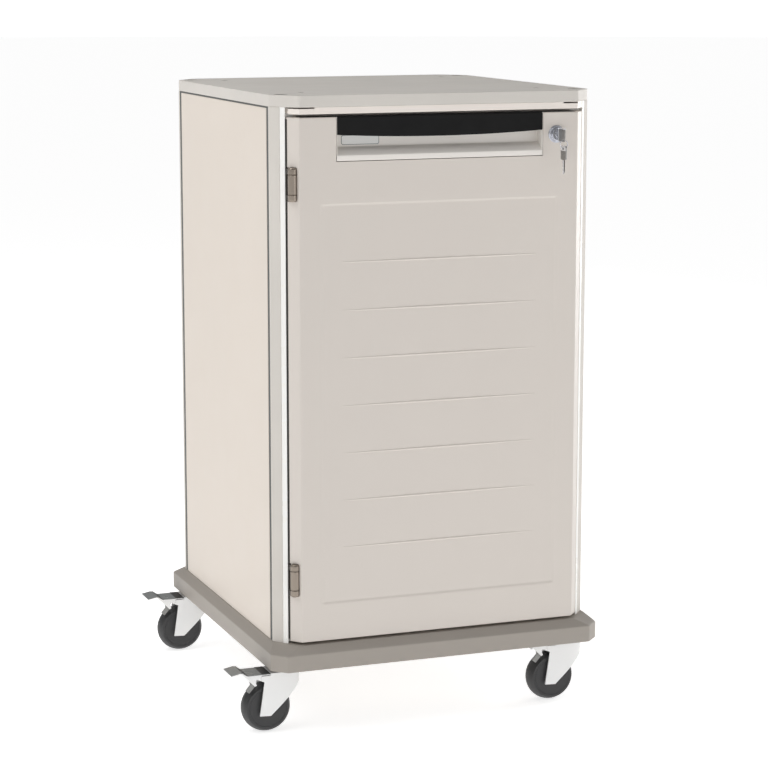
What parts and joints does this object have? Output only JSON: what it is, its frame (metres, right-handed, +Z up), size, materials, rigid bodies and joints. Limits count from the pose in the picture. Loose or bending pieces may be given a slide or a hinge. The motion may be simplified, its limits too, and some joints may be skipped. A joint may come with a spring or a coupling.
{
  "type": "bedside cabinet",
  "caption": "Mobile bedside cabinet: tall locker with cut corners, hinged door with a recessed pull and a cam lock with keys, wide bumper base and swivel castors with brake pedals.",
  "frame": {"origin": "on the floor, at the centre of the bounding box's footprint", "axes": "Z up; X runs along the door's width, positive towards the lock side and away from the brake pedals; Y runs from the door to the back panel"},
  "size_m": [0.6772, 0.6876, 1.0905],
  "materials": {
    "worktop_laminate": "smooth light grey laminate, satin",
    "grey_trim": "satin mid grey",
    "post_plastic": "fine-textured light grey extrusion",
    "cream_panel": "smooth cream panel, satin",
    "grey_gasket": "soft mid grey strip",
    "white_plastic": "white moulding, satin",
    "door_plastic": "warm off-white moulding, fine texture",
    "grey_bumper": "warm grey moulding, glossy",
    "chassis_steel": "dark grey powder coat",
    "black_rubber": "matte black",
    "black_plastic": "matte black moulding",
    "label_card": "blank white card under a grey rim",
    "champagne_steel": "satin warm metal",
    "bright_chrome": "polished",
    "zinc_steel": "zinc plated",
    "key_metal": "dark nickel",
    "fork_plastic": "white moulding, glossy",
    "tyre_rubber": "smooth dark grey tread",
    "wheel_grey": "dark grey moulding",
    "shoe_rubber": "mid grey rubber"
  },
  "bodies": {
    "cabinet": {"worktop": "worktop_laminate", "worktop_plugs": "grey_trim", "worktop_screws": "grey_trim", "post_front_left": "post_plastic", "post_front_right": "post_plastic", "post_rear_left": "post_plastic", "post_rear_right": "post_plastic", "panel_left": "cream_panel", "panel_right": "cream_panel", "panel_back": "cream_panel", "panel_gaskets": "grey_gasket", "jamb_left": "white_plastic", "jamb_right": "white_plastic", "top_rail": "white_plastic", "bottom_deck": "white_plastic", "base_bumper": "grey_bumper", "chassis_frame": "chassis_steel", "side_liners": "white_plastic", "shelves": "white_plastic", "strike_plate": "bright_chrome", "hinge_frame_leaves": "champagne_steel", "hinge_pins": "champagne_steel", "castor_heads": "zinc_steel"},
    "door": {"door_skin": "door_plastic", "door_liner": "door_plastic", "door_seal": "black_rubber", "handle_pocket": "white_plastic", "handle_grip": "black_plastic", "label_plate": "label_card", "lock_housing": "bright_chrome", "hinge_door_leaves": "champagne_steel"},
    "lock": {"lock_plug": "bright_chrome", "lock_cam": "zinc_steel", "key": "key_metal"},
    "key_ring": {"key_ring": "bright_chrome"},
    "spare_key": {"spare_key": "key_metal"},
    "castor_front_left_swivel": {"castor_front_left_fork": "fork_plastic", "castor_front_left_pins": "zinc_steel"},
    "castor_front_left_wheel": {"castor_front_left_tyre": "tyre_rubber", "castor_front_left_wheel_core": "wheel_grey"},
    "castor_front_left_brake": {"castor_front_left_pedal": "fork_plastic", "castor_front_left_brake_shoe": "shoe_rubber"},
    "castor_front_right_swivel": {"castor_front_right_fork": "fork_plastic", "castor_front_right_pins": "zinc_steel"},
    "castor_front_right_wheel": {"castor_front_right_tyre": "tyre_rubber", "castor_front_right_wheel_core": "wheel_grey"},
    "castor_front_right_brake": {"castor_front_right_pedal": "fork_plastic", "castor_front_right_brake_shoe": "shoe_rubber"},
    "castor_rear_left_swivel": {"castor_rear_left_fork": "fork_plastic", "castor_rear_left_pins": "zinc_steel"},
    "castor_rear_left_wheel": {"castor_rear_left_tyre": "tyre_rubber", "castor_rear_left_wheel_core": "wheel_grey"},
    "castor_rear_left_brake": {"castor_rear_left_pedal": "fork_plastic", "castor_rear_left_brake_shoe": "shoe_rubber"},
    "castor_rear_right_swivel": {"castor_rear_right_fork": "fork_plastic", "castor_rear_right_pins": "zinc_steel"},
    "castor_rear_right_wheel": {"castor_rear_right_tyre": "tyre_rubber", "castor_rear_right_wheel_core": "wheel_grey"},
    "castor_rear_right_brake": {"castor_rear_right_pedal": "fork_plastic", "castor_rear_right_brake_shoe": "shoe_rubber"}
  },
  "joints": [
    {"name": "door_hinge", "type": "hinge", "parent": "cabinet", "child": "door", "pos_m": [-0.2288, -0.2956, 0.61], "axis": [0, 0, -1], "range_deg": [0, 180]},
    {"name": "lock_turn", "type": "hinge", "parent": "door", "child": "lock", "pos_m": [0.2454, -0.3028, 1.0165], "axis": [0, -1, 0], "range_deg": [0, 90]},
    {"name": "ring_hang", "type": "hinge", "parent": "lock", "child": "key_ring", "pos_m": [0.2454, -0.3338, 1.008], "axis": [0, -1, 0], "range_deg": [-36, 0]},
    {"name": "spare_hang", "type": "hinge", "parent": "key_ring", "child": "spare_key", "pos_m": [0.2454, -0.3338, 1.001], "axis": [0, -1, 0], "range_deg": [-54, 0]},
    {"name": "castor_front_left_swivel", "type": "hinge", "parent": "cabinet", "child": "castor_front_left_swivel", "pos_m": [-0.234, -0.2567, 0.107], "axis": [0, 0, 1], "continuous": true},
    {"name": "castor_front_left_spin", "type": "hinge", "parent": "castor_front_left_swivel", "child": "castor_front_left_wheel", "pos_m": [-0.2709, -0.2567, 0.0435], "axis": [0, 1, 0], "continuous": true},
    {"name": "castor_front_left_brake", "type": "hinge", "parent": "castor_front_left_swivel", "child": "castor_front_left_brake", "pos_m": [-0.2729, -0.2567, 0.0985], "axis": [0, -1, 0], "range_deg": [0, 6]},
    {"name": "castor_front_right_swivel", "type": "hinge", "parent": "cabinet", "child": "castor_front_right_swivel", "pos_m": [0.3008, -0.2567, 0.107], "axis": [0, 0, 1], "continuous": true},
    {"name": "castor_front_right_spin", "type": "hinge", "parent": "castor_front_right_swivel", "child": "castor_front_right_wheel", "pos_m": [0.2639, -0.2567, 0.0435], "axis": [0, 1, 0], "continuous": true},
    {"name": "castor_front_right_brake", "type": "hinge", "parent": "castor_front_right_swivel", "child": "castor_front_right_brake", "pos_m": [0.2619, -0.2567, 0.0985], "axis": [0, -1, 0], "range_deg": [0, 6]},
    {"name": "castor_rear_left_swivel", "type": "hinge", "parent": "cabinet", "child": "castor_rear_left_swivel", "pos_m": [-0.234, 0.2841, 0.107], "axis": [0, 0, 1], "continuous": true},
    {"name": "castor_rear_left_spin", "type": "hinge", "parent": "castor_rear_left_swivel", "child": "castor_rear_left_wheel", "pos_m": [-0.2709, 0.2841, 0.0435], "axis": [0, 1, 0], "continuous": true},
    {"name": "castor_rear_left_brake", "type": "hinge", "parent": "castor_rear_left_swivel", "child": "castor_rear_left_brake", "pos_m": [-0.2729, 0.2841, 0.0985], "axis": [0, -1, 0], "range_deg": [0, 6]},
    {"name": "castor_rear_right_swivel", "type": "hinge", "parent": "cabinet", "child": "castor_rear_right_swivel", "pos_m": [0.3008, 0.2841, 0.107], "axis": [0, 0, 1], "continuous": true},
    {"name": "castor_rear_right_spin", "type": "hinge", "parent": "castor_rear_right_swivel", "child": "castor_rear_right_wheel", "pos_m": [0.2639, 0.2841, 0.0435], "axis": [0, 1, 0], "continuous": true},
    {"name": "castor_rear_right_brake", "type": "hinge", "parent": "castor_rear_right_swivel", "child": "castor_rear_right_brake", "pos_m": [0.2619, 0.2841, 0.0985], "axis": [0, -1, 0], "range_deg": [0, 6]}
  ],
  "couplings": [
    {"joint": "ring_hang", "follows": "lock_turn", "ratio": -0.4},
    {"joint": "spare_hang", "follows": "lock_turn", "ratio": -0.6}
  ]
}
